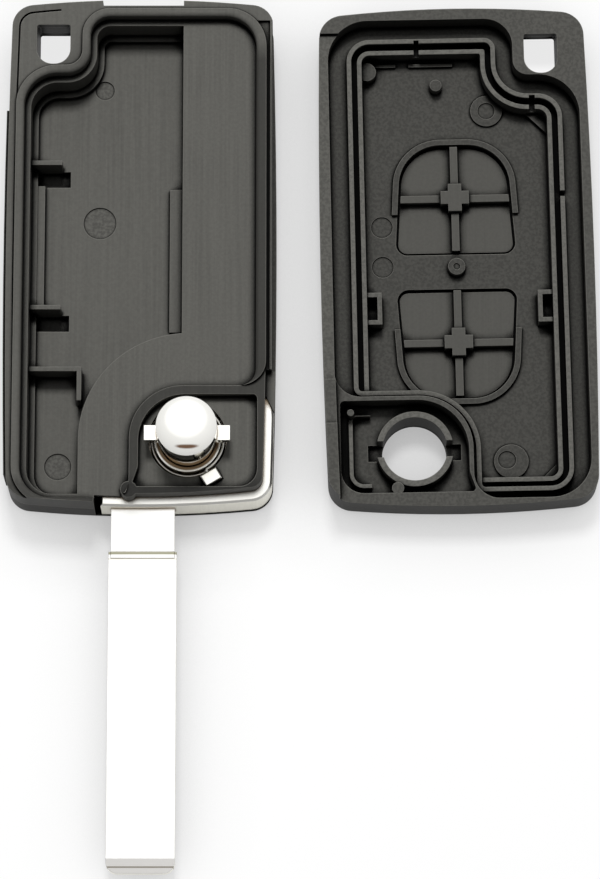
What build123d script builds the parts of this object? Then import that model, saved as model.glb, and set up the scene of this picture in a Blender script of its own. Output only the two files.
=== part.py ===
from build123d import *
import os
from math import cos, hypot, radians, sin

os.makedirs("parts", exist_ok=True)

# A flip-key fob shell, opened and laid down with the inside of both halves up and the blade out.
# The origin is where the fold axis meets the surface that the halves lie on.
# X runs to the right, Y towards the key ring end and Z up, all in millimetres.

# Overall outline, shared by both halves
body_width = 36.0
body_length = 69.6
pivot_to_side = 11.7
pivot_to_end = 9.0
side_bow = 0.5
end_bow = 1.0
corner_round = 3.0

right_edge = pivot_to_side
left_edge = right_edge - body_width
bottom_edge = -pivot_to_end
top_edge = body_length - pivot_to_end
middle_x = (left_edge + right_edge) / 2
middle_y = (bottom_edge + top_edge) / 2

# Heights and walls of the rear half
floor_thickness = 1.4
seam_height = 5.2
rim_height = 9.5
wall = 1.2
outer_round = 1.1
nest_gap = 0.05
run_gap = 0.05
over = 5.0

# Blade
blade_width = 9.0
blade_thickness = 2.2
blade_offset = 5.9
blade_height = 4.3
tip_to_shell = 3.3
tip_round = 1.5
tip_bevel = 1.9
tip_flat = 1.3
root_inset = 0.3
root_step = 0.12
shoulder_start = 5.7
shoulder_end = 6.6
tang_gap = 0.02
tang_length = 2.9
tang_heel = 3.7
tang_heel_top = 1.2

blade_x = -blade_offset
root_width = blade_width - 2 * root_inset
blade_bottom = blade_height - blade_thickness / 2
blade_top = blade_height + blade_thickness / 2
blade_tip = -(top_edge - tip_to_shell)
blade_gap = 0.4

# Carrier, a block that fills the same corner of the shell open and folded
carrier_clear = 0.3
carrier_inset = 0.1
carrier_height = 5.25
roof_gap = 0.1
roof_thickness = 0.8
sweep_trim = 1.36
swing_wall = 0.8
edge_break = 0.3

carrier_bottom = floor_thickness + run_gap
carrier_top = carrier_bottom + carrier_height
roof_bottom = carrier_top + roof_gap
roof_top = roof_bottom + roof_thickness
sweep_radius = hypot(pivot_to_side, pivot_to_end) - sweep_trim
swing_radius = sweep_radius + carrier_clear
swing_left = -(pivot_to_side + 2 * carrier_clear)
swing_top = pivot_to_end + carrier_clear

# Pivot post of the back cover and its recess in the carrier
post_radius = 2.95
post_height = 1.0
post_gap = 0.05
post_web = 0.15

# Release button, sized from its stem
stem_radius = 3.67
stem_gap = 0.08
stem_wall = 0.77
cap_step = 0.33
cap_height = 4.7
cap_roof = 1.5
dome_rise = 0.9
dome_corner = 0.6
dome_flat = 0.4
button_travel = 2.2
lug_length = 1.65
lug_width = 2.0
lug_height = 1.4
lug_clear = 0.1

cap_radius = stem_radius + cap_step
button_bore = stem_radius - stem_wall
lug_reach = cap_radius + lug_length

lug_bottom = roof_top + button_travel + lug_clear
lug_top = lug_bottom + lug_height
cap_bottom = lug_top
cap_shoulder = cap_bottom + cap_height - dome_rise
cap_top = cap_bottom + cap_height
button_roof = cap_top - cap_roof
bore_bottom = carrier_bottom + post_height + post_web
stem_bottom = bore_bottom + button_travel + lug_clear
dome_radius = ((cap_radius - dome_flat) ** 2 + dome_rise**2) / (2 * dome_rise)

# Boss round the release button, and the flip spring in the groove round the boss
boss_wall = 0.65
boss_height = 0.8
groove_width = 0.8
groove_depth = 3.1
flip_wire = 0.45
flip_turns = 3
wire_sides = 6

# Press spring inside the release button
press_wire = 0.5
press_gap = 0.4
press_turns = 5
spring_end_gap = 0.02

boss_radius = stem_radius + stem_gap + boss_wall
boss_top = carrier_top + boss_height
hole_radius = boss_radius + groove_width
flip_radius = boss_radius + groove_width / 2
press_radius = button_bore - press_gap - press_wire / 2
groove_bottom = carrier_top - groove_depth
leg_height = roof_top - flip_wire / 2 - run_gap

# Spring anchor, a small metal block let into the chamber floor
anchor_angle = -59.0
anchor_ledge = 0.05
anchor_long = 2.4
anchor_wide = 1.7
anchor_height = 1.2
anchor_seat = 0.5
anchor_gap = 0.15
neck_width = 1.0

anchor_radius = hole_radius + anchor_ledge + anchor_wide / 2

# Roll pin through carrier and tang
pin_radius = 0.8
pin_bore = 0.45
pin_slit = 0.3
pin_gap = 0.02
pin_y = -1.6

pin_x = blade_x - root_width / 2 + tang_heel / 2

# Walls round the pivot chamber, shared by both halves
chamber_side_gap = 1.3
chamber_top_gap = 0.6
chamber_right = 2.5
chamber_down = 2.3
chamber_flare = 0.9
chamber_flare_height = 2.7
chamber_rounds = (0.6, 2.4, 0.5, 1.6)
s_wall = 1.2
band_width = 1.3
band_end = 5.8
band_slant = 2.7
shelf_end = 9.2

chamber_left = hole_radius + chamber_side_gap
chamber_up = hole_radius + chamber_top_gap

# Board compartment
rim_side = 2.2
rim_right = 2.7
rim_top = 2.4
rim_bottom = 0.8
ring_shoulder = 10.4
ring_side = 11.0
board_floor = 2.6
rim_lip = 1.1
slot_lip = 0.25
lip_rise = 0.5
lip_round = 0.6
well_step = 0.8
foot_width = 0.8
foot_height = 0.8
least_round = 0.3
ring_step_round = 3.2
roof_edge = 0.85
channel_wall = 1.15
# Rounds of the compartment's corners, from the lower left past the key ring to the pivot chamber
compartment_rounds = (4.2, 4.4, 2.6, 4.2, 2.2, 2.2)

# Height that the front cover seats on, outside the raised lip of the compartment
seat_height = rim_height - lip_rise

# Board supports, ledges and marks in the compartment
supports_from_top = 22.3
supports_from_axis = 18.2
support_width = 4.2
support_wall = 0.6
support_height = 4.6
pocket_length = 2.2
pocket_width = 5.2
elbow_y = 10.2
elbow_gap = 0.3
elbow_drop = 4.6
elbow_height = 3.8
pocket_depth = board_floor - floor_thickness
ledge_inset = 0.8
ledge_width = 1.0
ledge_height = 0.7
ledge_gap = 1.2
ledge_right_width = 1.8
ledge_right_from_top = 25.0
mark_depth = 0.15
# Ejector marks: share of the body's width, share of its length, radius
ejector_marks = ((0.353, 0.845, 1.3), (0.339, 0.576, 2.2), (0.192, 0.092, 1.8))
notch_from_left = 12.6
notch_length = 10.9
notch_depth = 0.8
stop_radius = 1.1
stop_inset = 0.6
slot_gap = 0.6
slot_edge = 0.25
rim_groove_inset = 0.85
rim_groove_width = 0.25
rim_groove_depth = 0.4

# Key ring hole, flat towards the end of the shell and round towards the middle
ring_width = 4.5
ring_height = 5.5
ring_from_side = 6.0
ring_from_top = 3.5
ring_round = 2.1
ring_flat_round = 0.3
ring_web = 1.2
ring_relief = 1.4

# Raised grip wall of the back cover on the long side away from the blade
grip_bulge = 0.4
grip_wall = 0.8
grip_top = 7.6
grip_from_top = 15.2
grip_from_bottom = 4.2

# Front cover
face_thickness = 1.7
front_height = 6.5
front_overhang = 0.3
front_round = 1.6
front_gap_x = 30.1
front_shift_y = -0.8
front_turn = 1.1
front_low = 1.2
groove_floor = 3.2
groove_gap = 0.1
bead_wall = 0.6
bead_outer = 1.1
bead_inner = 3.1
curve_bead = 0.45
bead_height = 5.2
inner_bead_height = 4.6
pad_height = 3.0
skirt_clear = 0.1
skirt_height = seat_height - carrier_top - skirt_clear
collar_wall = 0.8
collar_height = 5.5
cap_clear = 0.3
lug_slot_gap = 0.1
lug_slot_floor = 2.0
slot_strip_drop = 0.6

# Small features inside the front cover
corner_rib_inset = 0.5
corner_rib_wall = 0.5
corner_rib_height = 1.6
rib_post_radius = 0.45
wall_boss_x = -2.4
wall_boss_radius = 0.8
pad_rise = 0.7
clip_reach = 2.6
clip_length = 4.4
clip_height = 2.6
clip_wall = 0.6
clip_below = 5.6
corner_pad_high = 2.8
corner_pad_low = 2.3
# Round posts on the floor: share of the width, share of the length, radius, height
floor_posts = (
    (0.439, 0.862, 0.8, 1.9),
    (0.181, 0.893, 1.25, 1.6),
    (0.628, 0.815, 2.15, 0.35),
    (0.5, 0.498, 1.15, 1.4),
    (0.683, 0.113, 2.3, 0.35),
)
# Shallow round marks: share of the width, share of the length, radius, height of what they are in
floor_dimples = (
    (0.628, 0.815, 1.15, 0.35),
    (0.5, 0.498, 0.45, 1.4),
    (0.667, 0.116, 1.2, 0.35),
    (0.225, 0.584, 1.45, 0.0),
    (0.225, 0.504, 1.45, 0.0),
)
# Breaks in the sealing beads: share of the width, share of the length, width, length
bead_breaks = (
    (0.368, 0.931, 0.7, 2.2),
    (0.892, 0.632, 1.6, 0.8),
    (0.797, 0.816, 0.8, 2.2),
)
# Two low bars along the end wall: where each begins and ends, as shares of the width
floor_bars = ((0.195, 0.29), (0.34, 0.505))
bar_from_top = 6.3
bar_wide = 0.4
bar_rise = 0.5

# Remote buttons, pressed from the outer face and held by a plate inside
window_width = 14.8
window_taper = 1.0
window_low = 1.3
window_high = 18.4
window_gap = 6.3
window_arch = 5.0
window_round = 0.8
key_gap = 0.15
key_recess = 0.25
plate_reach = 0.4
plate_thickness = 0.35
plate_gap = 0.35
plate_seat = 0.9
window_lip = 0.75
window_lip_rise = 0.6
window_lip_share = 0.35
key_rib = 1.0
key_rib_height = 1.2
boss_long = 3.8
boss_cross = 1.8
boss_rise = 1.9


def turn_point(angle, radius):
    """Point at an angle and a radius from the fold axis"""
    return (radius * cos(radians(angle)), radius * sin(radians(angle)))


def body_outline(inset=0.0, low=0.0):
    """Bowed rectangle with rounded corners, drawn in by inset all round and by low at the lower end"""
    left = left_edge + inset
    right = right_edge - inset
    bottom = bottom_edge + inset + low
    top = top_edge - inset
    with BuildSketch(mode=Mode.PRIVATE) as shape:
        with BuildLine():
            low_left = (left + side_bow, bottom + end_bow)
            top_left = (left + side_bow, top - end_bow)
            top_right = (right - side_bow, top - end_bow)
            low_right = (right - side_bow, bottom + end_bow)
            ThreePointArc(low_left, (left, middle_y), top_left)
            ThreePointArc(top_left, (middle_x, top), top_right)
            ThreePointArc(top_right, (right, middle_y), low_right)
            ThreePointArc(low_right, (middle_x, bottom), low_left)
        make_face()
        fillet(shape.vertices(), corner_round - inset)
    return shape.sketch


def rounded_outline(corners, rounds):
    """Closed outline through corner points, each with its own round"""
    with BuildSketch(mode=Mode.PRIVATE) as shape:
        with BuildLine():
            FilletPolyline(*corners, radius=rounds, close=True)
        make_face()
    return shape.sketch


def box_outline(left, bottom, right, top):
    """Rectangle between two corners"""
    with BuildSketch(mode=Mode.PRIVATE) as shape:
        with Locations(((left + right) / 2, (bottom + top) / 2)):
            Rectangle(right - left, top - bottom)
    return shape.sketch


def compartment(inset=0.0, curve_inset=None, low=0.0, wide=0.0):
    """Room for the circuit board, which steps round the key ring and round the pivot chamber"""
    if curve_inset is None:
        curve_inset = inset
    left = left_edge + rim_side + inset
    right = right_edge - rim_right - inset + wide
    bottom = bottom_edge + rim_bottom + inset + low
    top = top_edge - rim_top - inset
    step_y = top_edge - ring_shoulder - inset
    step_x = left_edge + ring_side + inset
    curve_top = chamber_up + s_wall + curve_inset
    curve_left = -(chamber_left + s_wall + curve_inset)
    corners = [
        (left, bottom),
        (left, step_y),
        (step_x, step_y),
        (step_x, top),
        (right, top),
        (right, curve_top),
        (curve_left, curve_top),
        (curve_left, bottom),
    ]
    outside = [max(size - inset, least_round) for size in compartment_rounds]
    ring_inside = ring_step_round + inset
    curve_inside = chamber_left + s_wall / 2 + curve_inset
    rounds = [*outside[:2], ring_inside, *outside[2:5], curve_inside, outside[5]]
    return rounded_outline(corners, rounds)


def lip_outline(grow=0.0, low=0.0):
    """Outer line of the raised lip round the compartment, wider on the side of the blade"""
    return compartment(-rim_lip - grow, 0, low, slot_lip)


def chamber(inset=0.0, low=0.0):
    """Room round the fold axis, inside the curved wall"""
    left = -chamber_left + inset
    top = chamber_up - inset
    right = right_edge - chamber_right - inset
    bottom = bottom_edge + chamber_down + inset + low
    corners = [
        (left, top),
        (right, top),
        (right, bottom),
        (left - chamber_flare, bottom),
        (left, bottom + chamber_flare_height),
    ]
    top_right, low_right, low_left, flare = chamber_rounds
    rounds = [chamber_left - s_wall / 4 - inset, top_right, low_right - inset, low_left, flare]
    return rounded_outline(corners, rounds)


def swing_space():
    """Everything that the carrier passes through between open and folded"""
    with BuildSketch(mode=Mode.PRIVATE) as shape:
        Circle(swing_radius)
        add(box_outline(swing_left, bottom_edge - over, right_edge + over, 0))
        add(box_outline(0, bottom_edge - over, right_edge + over, swing_top))
    return shape.sketch


def ring_slot(relief=0.0):
    """Key ring hole, longer by relief towards the end of the shell"""
    centre_x = left_edge + ring_from_side
    centre_y = top_edge - ring_from_top - (ring_height - relief) / 2
    with BuildSketch(mode=Mode.PRIVATE) as shape:
        with Locations((centre_x, centre_y)):
            Rectangle(ring_width, ring_height + relief)
        fillet(shape.vertices().group_by(Axis.Y)[0], ring_round)
        fillet(shape.vertices().group_by(Axis.Y)[-1], ring_flat_round)
    return shape.sketch


def carrier_outline():
    """The shell's outline and the same outline turned half a turn, where both overlap"""
    with BuildSketch(mode=Mode.PRIVATE) as shape:
        add(body_outline(carrier_inset))
        add(body_outline(carrier_inset).rotate(Axis.Z, 180), mode=Mode.INTERSECT)
        with BuildSketch(mode=Mode.PRIVATE) as reach:
            Circle(sweep_radius)
            add(box_outline(-pivot_to_side - over, bottom_edge - over, 0, 0))
        add(reach.sketch, mode=Mode.INTERSECT)
    return shape.sketch


def tang_outline(grow=0.0):
    """Part of the blade inside the carrier: a broad heel and a narrow tail beside the spring groove"""
    left = blade_x - root_width / 2 - grow
    right = blade_x + root_width / 2 + grow
    heel = bottom_edge + tang_length + grow
    edge = bottom_edge - (over if grow else 0)
    with BuildSketch(mode=Mode.PRIVATE) as shape:
        add(box_outline(left, edge, right, heel))
        add(box_outline(left, edge, left + tang_heel + 2 * grow, tang_heel_top + grow))
    return shape.sketch


grip_low = bottom_edge + grip_from_bottom
grip_high = top_edge - grip_from_top
anchor_plane = Plane(origin=(0, 0, 0), x_dir=(*turn_point(anchor_angle, 1), 0), z_dir=(0, 0, 1))

# Places in the board compartment, counted from the walls and from the fold axis
support_left = left_edge + rim_side + well_step
support_places = [top_edge - supports_from_top, supports_from_axis]
notch_left = left_edge + notch_from_left
notch_right = notch_left + notch_length
stop_x = -chamber_left - s_wall
elbow_x = -swing_radius - swing_wall + elbow_gap
ledge_right_low = swing_radius + swing_wall + ledge_gap
ledge_right_high = top_edge - ledge_right_from_top

# Back cover, the outer shell of the rear half
with BuildPart() as back_cover:
    with BuildSketch(Plane.XY):
        add(body_outline())
    extrude(amount=seam_height)
    fillet(back_cover.edges().group_by(Axis.Z)[0], outer_round)
    # Grip wall, which bulges out and stands up past the seam
    with BuildSketch(Plane.XY.offset(outer_round)):
        add(body_outline(-grip_bulge))
        add(body_outline(grip_wall), mode=Mode.SUBTRACT)
        add(box_outline(left_edge - over, grip_low, left_edge + over, grip_high), mode=Mode.INTERSECT)
    extrude(amount=grip_top - outer_round)
    # Tray that the mid frame nests in
    with BuildSketch(Plane.XY.offset(floor_thickness)):
        add(body_outline(wall))
    extrude(amount=seam_height, mode=Mode.SUBTRACT)
    # Open corner where the carrier turns out of the shell
    with BuildSketch(Plane.XY.offset(floor_thickness)):
        add(swing_space())
    extrude(amount=seam_height, mode=Mode.SUBTRACT)
    # Low side wall under the slot that the blade folds into
    with BuildSketch(Plane.XY.offset(blade_bottom - blade_gap)):
        add(box_outline(right_edge - rim_right, 0, right_edge + over, -blade_tip + blade_gap))
    extrude(amount=seam_height, mode=Mode.SUBTRACT)
    # Key ring hole
    with BuildSketch(Plane.XY):
        add(ring_slot(ring_relief))
    extrude(amount=seam_height, mode=Mode.SUBTRACT)
    # Post that the carrier turns on
    with BuildSketch(Plane.XY.offset(floor_thickness)):
        Circle(post_radius)
    extrude(amount=post_height)
back_cover.part.label = "back_cover"
export_step(back_cover.part, "parts/back_cover.step")

# Mid frame, with the board compartment, the roof over the blade and the pivot chamber
with BuildPart() as mid_frame:
    with BuildSketch(Plane.XY.offset(floor_thickness)):
        add(body_outline(wall + nest_gap))
    extrude(amount=seam_height - floor_thickness)
    with BuildSketch(Plane.XY.offset(seam_height)):
        add(body_outline())
    extrude(amount=rim_height - seam_height)
    # Recess that takes the grip wall of the back cover
    with BuildSketch(Plane.XY.offset(seam_height)):
        add(box_outline(left_edge - over, grip_low - nest_gap, left_edge + over, grip_high + nest_gap))
        add(body_outline(grip_wall + nest_gap), mode=Mode.SUBTRACT)
    extrude(amount=grip_top + nest_gap - seam_height, mode=Mode.SUBTRACT)
    # Space under the roof for the carrier, and the channel for the folded blade
    with BuildSketch(Plane.XY.offset(floor_thickness)):
        add(swing_space())
    extrude(amount=roof_bottom - floor_thickness, mode=Mode.SUBTRACT)
    with BuildSketch(Plane.XY.offset(floor_thickness)):
        add(box_outline(channel_wall - roof_edge, 0, right_edge + over, -blade_tip + blade_gap))
    extrude(amount=blade_top + blade_gap - floor_thickness, mode=Mode.SUBTRACT)
    # Compartment down to the roof, with a soft edge
    with BuildSketch(Plane.XY.offset(rim_height)):
        add(compartment())
    extrude(amount=roof_top - rim_height, mode=Mode.SUBTRACT)
    fillet(mid_frame.faces().sort_by(Axis.Z)[-1].inner_wires()[0].edges(), lip_round)
    # Seat of the front cover, which leaves a raised lip round the compartment
    with BuildSketch(Plane.XY.offset(seat_height)):
        add(body_outline(-over))
        add(lip_outline(), mode=Mode.SUBTRACT)
    extrude(amount=lip_rise, mode=Mode.SUBTRACT)
    # Deep well beside the roof, with a narrow foot along its walls
    for inset, level in ((well_step, board_floor + foot_height), (well_step + foot_width, board_floor)):
        with BuildSketch(Plane.XY.offset(roof_top)):
            add(compartment(inset))
            add(box_outline(-roof_edge, bottom_edge, right_edge, top_edge), mode=Mode.SUBTRACT)
            Circle(swing_radius + swing_wall, mode=Mode.SUBTRACT)
            add(box_outline(-swing_radius - swing_wall, bottom_edge, 0, 0), mode=Mode.SUBTRACT)
        extrude(amount=level - roof_top, mode=Mode.SUBTRACT)
    # Pivot chamber
    with BuildSketch(Plane.XY.offset(rim_height)):
        add(chamber())
    extrude(amount=roof_top - rim_height, mode=Mode.SUBTRACT)
    with BuildSketch(Plane.XY.offset(roof_bottom)):
        Circle(hole_radius)
    extrude(amount=roof_thickness, mode=Mode.SUBTRACT)
    # Set-back that leaves the edge of the carrier in view
    with BuildSketch(Plane.XY.offset(roof_bottom)):
        with BuildLine():
            Polyline(
                (swing_left, bottom_edge - over),
                (right_edge + over, bottom_edge - over),
                (right_edge + over, band_end - band_slant),
                (right_edge, band_end - band_slant),
                (right_edge - band_width, band_end),
                (swing_left, band_end),
                close=True,
            )
        make_face()
        add(body_outline(band_width), mode=Mode.SUBTRACT)
    extrude(amount=rim_height - roof_bottom, mode=Mode.SUBTRACT)
    with BuildSketch(Plane.XY.offset(roof_top)):
        add(box_outline(0, 0, right_edge + over, shelf_end))
        add(body_outline(band_width), mode=Mode.SUBTRACT)
    extrude(amount=rim_height - roof_top, mode=Mode.SUBTRACT)
    # Side left open along the slot that the blade folds into
    with BuildSketch(Plane.XY.offset(floor_thickness)):
        add(box_outline(right_edge - slot_gap, shelf_end, right_edge + over, -blade_tip + blade_gap))
    extrude(amount=rim_height, mode=Mode.SUBTRACT)
    # Key ring hole, through a thin web and then wider, so that the ring can swing out
    with BuildSketch(Plane.XY.offset(floor_thickness)):
        add(ring_slot())
    extrude(amount=rim_height, mode=Mode.SUBTRACT)
    with BuildSketch(Plane.XY.offset(floor_thickness)):
        add(ring_slot(ring_relief))
    extrude(amount=seat_height - ring_web - floor_thickness, mode=Mode.SUBTRACT)
    # Fine groove in the seat round the lower corner, beside the grip wall and along the end
    with BuildSketch(Plane.XY.offset(seat_height)):
        add(body_outline(rim_groove_inset))
        add(body_outline(rim_groove_inset + rim_groove_width), mode=Mode.SUBTRACT)
        add(lip_outline(), mode=Mode.SUBTRACT)
        add(box_outline(left_edge, bottom_edge, swing_left - over, top_edge), mode=Mode.INTERSECT)
    extrude(amount=-rim_groove_depth, mode=Mode.SUBTRACT)
    # Groove between the lip and the slot
    with BuildSketch(Plane.XY.offset(seat_height)):
        slot_rim = right_edge - slot_gap - slot_edge
        add(box_outline(slot_rim - rim_right, shelf_end, slot_rim, -blade_tip + blade_gap))
        add(lip_outline(), mode=Mode.SUBTRACT)
    extrude(amount=-rim_groove_depth, mode=Mode.SUBTRACT)
    # Notch in the top edge, down to the seam, for a tool that opens the shell
    with BuildSketch(Plane.XY.offset(seam_height)):
        add(box_outline(notch_left, top_edge - notch_depth, notch_right, top_edge + over))
    extrude(amount=rim_height, mode=Mode.SUBTRACT)
    # Round stop on the set-back edge
    with BuildSketch(Plane.XY.offset(roof_bottom)):
        with Locations((stop_x, bottom_edge + band_width + stop_inset)):
            Circle(stop_radius)
    extrude(amount=seat_height - roof_bottom)
    # Pockets in the floor below the board supports
    with BuildSketch(Plane.XY.offset(board_floor)):
        for support_y in support_places:
            add(box_outline(support_left, support_y - pocket_length, support_left + pocket_width, support_y))
    extrude(amount=-pocket_depth, mode=Mode.SUBTRACT)
    # Board supports, thin walls that stand across the side wall
    with BuildSketch(Plane.XY.offset(board_floor - pocket_depth)):
        for support_y in support_places:
            add(box_outline(support_left, support_y, support_left + support_width, support_y + support_wall))
    extrude(amount=support_height)
    # Corner wall round the lower left of the floor
    with BuildSketch(Plane.XY.offset(board_floor)):
        add(box_outline(support_left, elbow_y - support_wall, elbow_x, elbow_y))
        add(box_outline(elbow_x - support_wall, elbow_y - elbow_drop, elbow_x, elbow_y))
    extrude(amount=elbow_height)
    # Low ledges that the board lies on
    with BuildSketch(Plane.XY.offset(board_floor)):
        ledge_left = support_left + ledge_inset
        ledge_low = support_places[1] + support_wall
        add(box_outline(ledge_left, ledge_low, ledge_left + ledge_width, support_places[0] - pocket_length))
        add(box_outline(-roof_edge - ledge_right_width, ledge_right_low, -roof_edge, ledge_right_high))
    extrude(amount=ledge_height)
    # Round marks that the ejector pins of the mould leave
    with BuildSketch(Plane.XY.offset(board_floor)):
        for across, along, mark_radius in ejector_marks:
            with Locations((left_edge + across * body_width, bottom_edge + along * body_length)):
                Circle(mark_radius)
    extrude(amount=-mark_depth, mode=Mode.SUBTRACT)
    # Pocket for the spring anchor and the neck that the spring's leg passes through
    with BuildSketch(anchor_plane.offset(roof_top - anchor_seat)):
        with Locations((anchor_radius, 0)):
            Rectangle(anchor_wide + 2 * anchor_gap, anchor_long + 2 * anchor_gap)
    extrude(amount=anchor_height, mode=Mode.SUBTRACT)
    with BuildSketch(anchor_plane.offset(roof_bottom)):
        add(box_outline(hole_radius - neck_width, -neck_width / 2, anchor_radius, neck_width / 2))
    extrude(amount=roof_thickness, mode=Mode.SUBTRACT)
mid_frame.part.label = "mid_frame"
export_step(mid_frame.part, "parts/mid_frame.step")

# Blade carrier, a die-cast block on the pivot post
with BuildPart() as blade_carrier:
    with BuildSketch(Plane.XY.offset(carrier_bottom)):
        add(carrier_outline())
    extrude(amount=carrier_height)
    chamfer(blade_carrier.edges().group_by(Axis.Z)[-1], edge_break)
    with BuildSketch(Plane.XY.offset(carrier_top)):
        Circle(boss_radius)
    extrude(amount=boss_height)
    # Groove for the flip spring
    with BuildSketch(Plane.XY.offset(carrier_top)):
        Circle(hole_radius)
        Circle(boss_radius, mode=Mode.SUBTRACT)
    extrude(amount=-groove_depth, mode=Mode.SUBTRACT)
    # Bore for the release button
    with BuildSketch(Plane.XY.offset(boss_top)):
        Circle(stem_radius + stem_gap)
    extrude(amount=bore_bottom - boss_top, mode=Mode.SUBTRACT)
    # Recess on the pivot post
    with BuildSketch(Plane.XY.offset(carrier_bottom)):
        Circle(post_radius + post_gap)
    extrude(amount=post_height, mode=Mode.SUBTRACT)
    # Slot for the tang, open at the edge
    with BuildSketch(Plane.XY.offset(blade_bottom - tang_gap)):
        add(tang_outline(tang_gap))
    extrude(amount=blade_thickness + 2 * tang_gap, mode=Mode.SUBTRACT)
    # Hole for the roll pin
    with BuildSketch(Plane.XY.offset(carrier_bottom)):
        with Locations((pin_x, pin_y)):
            Circle(pin_radius + pin_gap)
    extrude(amount=carrier_height, mode=Mode.SUBTRACT)
blade_carrier.part.label = "blade_carrier"
export_step(blade_carrier.part, "parts/blade_carrier.step")

# Key blade, a plain uncut flat blank with its root stepped in
with BuildPart() as key_blade:
    shoulder = bottom_edge - shoulder_end
    neck_end = bottom_edge - shoulder_start
    with BuildSketch(Plane.YZ.offset(blade_x - blade_width / 2)):
        with BuildLine():
            Polyline(
                (neck_end, blade_bottom),
                (blade_tip + tip_bevel, blade_bottom),
                (blade_tip, blade_height - tip_flat / 2),
                (blade_tip, blade_height + tip_flat / 2),
                (blade_tip + tip_bevel, blade_top),
                (neck_end, blade_top),
                close=True,
            )
        make_face()
    extrude(amount=blade_width)
    fillet(key_blade.edges().filter_by(Axis.Z).group_by(Axis.Y)[0], tip_round)
    # Root, narrower than the blade, and the tang in the carrier
    with BuildSketch(Plane.XY.offset(blade_bottom)):
        with Locations((blade_x, (shoulder + bottom_edge) / 2)):
            Rectangle(root_width, bottom_edge - shoulder)
        add(tang_outline())
    extrude(amount=blade_thickness)
    # Raised band across the shoulder
    with BuildSketch(Plane.XY.offset(blade_bottom - root_step)):
        with Locations((blade_x, (shoulder + neck_end) / 2)):
            Rectangle(root_width, neck_end - shoulder)
    extrude(amount=blade_thickness + 2 * root_step)
    with BuildSketch(Plane.XY.offset(blade_bottom)):
        with Locations((pin_x, pin_y)):
            Circle(pin_radius + pin_gap)
    extrude(amount=blade_thickness, mode=Mode.SUBTRACT)
key_blade.part.label = "key_blade"
export_step(key_blade.part, "parts/key_blade.step")

# Roll pin, a slit steel tube through the carrier and the tang
with BuildPart() as blade_roll_pin:
    with BuildSketch(Plane.XY.offset(carrier_bottom + run_gap)):
        with Locations((pin_x, pin_y)):
            Circle(pin_radius)
            Circle(pin_bore, mode=Mode.SUBTRACT)
        with Locations((pin_x + pin_radius, pin_y)):
            Rectangle(pin_radius, pin_slit, mode=Mode.SUBTRACT)
    extrude(amount=carrier_height - 2 * run_gap)
blade_roll_pin.part.label = "blade_roll_pin"
export_step(blade_roll_pin.part, "parts/blade_roll_pin.step")

# Flip spring round the boss, wound up to a leg that reaches out to its anchor
coil_height = leg_height - groove_bottom - flip_wire
with BuildPart() as wound_wire:
    with BuildLine(Plane.XY.offset(groove_bottom + flip_wire)):
        coil = Helix(pitch=coil_height / flip_turns, height=coil_height, radius=flip_radius)
    with BuildSketch(Plane(origin=coil @ 0, z_dir=coil % 0)):
        RegularPolygon(flip_wire / 2, wire_sides)
    sweep(path=coil, is_frenet=True)
    with BuildSketch(Plane(origin=coil @ 1, z_dir=(1, 0, 0)).offset(-flip_wire / 2)):
        RegularPolygon(flip_wire / 2, wire_sides)
    extrude(amount=anchor_radius - anchor_wide / 2 - flip_radius + flip_wire / 2)
with BuildPart() as flip_spring:
    add(wound_wire.part, rotation=(0, 0, anchor_angle))
flip_spring.part.label = "flip_spring"
export_step(flip_spring.part, "parts/flip_spring.step")

# Spring anchor, a metal block that holds the end of the flip spring
with BuildPart() as spring_anchor:
    with BuildSketch(anchor_plane.offset(roof_top - anchor_seat)):
        with Locations((anchor_radius, 0)):
            Rectangle(anchor_wide, anchor_long)
    extrude(amount=anchor_height)
    chamfer(spring_anchor.edges().group_by(Axis.Z)[-1], edge_break / 2)
spring_anchor.part.label = "spring_anchor"
export_step(spring_anchor.part, "parts/spring_anchor.step")

# Release button, a turned cup with a domed cap and two lugs
with BuildPart() as release_button:
    with BuildSketch(Plane.XZ):
        with BuildLine():
            Polyline(
                (dome_flat, cap_top),
                (0, cap_top),
                (0, button_roof),
                (button_bore, button_roof),
                (button_bore, stem_bottom),
                (stem_radius, stem_bottom),
                (stem_radius, cap_bottom),
                (cap_radius, cap_bottom),
                (cap_radius, cap_shoulder),
            )
            RadiusArc((cap_radius, cap_shoulder), (dome_flat, cap_top), -dome_radius)
        make_face()
    revolve(axis=Axis.Z)
    rim_edges = release_button.edges().filter_by_position(Axis.Z, cap_bottom, cap_top - dome_rise)
    fillet(rim_edges.filter_by(GeomType.CIRCLE).sort_by(Axis.Z)[-1], dome_corner)
    with BuildSketch(Plane.XY.offset(lug_bottom)):
        Rectangle(2 * lug_reach, lug_width)
        Circle((button_bore + stem_radius) / 2, mode=Mode.SUBTRACT)
    extrude(amount=lug_height)
release_button.part.label = "release_button"
export_step(release_button.part, "parts/release_button.step")

# Press spring inside the release button
press_height = button_roof - bore_bottom - press_wire - 2 * spring_end_gap
with BuildPart() as button_spring:
    with BuildLine(Plane.XY.offset(bore_bottom + press_wire / 2 + spring_end_gap)):
        press_coil = Helix(pitch=press_height / press_turns, height=press_height, radius=press_radius)
    with BuildSketch(Plane(origin=press_coil @ 0, z_dir=press_coil % 0)):
        RegularPolygon(press_wire / 2, wire_sides)
    sweep(path=press_coil, is_frenet=True)
button_spring.part.label = "button_spring"
export_step(button_spring.part, "parts/button_spring.step")


def front(height=0.0):
    """Plane of the front cover, which lies face down beside the rear half and slightly turned"""
    turn = (cos(radians(front_turn)), sin(radians(front_turn)), 0)
    return Plane(origin=(front_gap_x, front_shift_y, height), x_dir=turn, z_dir=(0, 0, 1))


def mirrored(outline):
    """The same outline on the other half, which faces it"""
    return outline.mirror(Plane.YZ)


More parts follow.
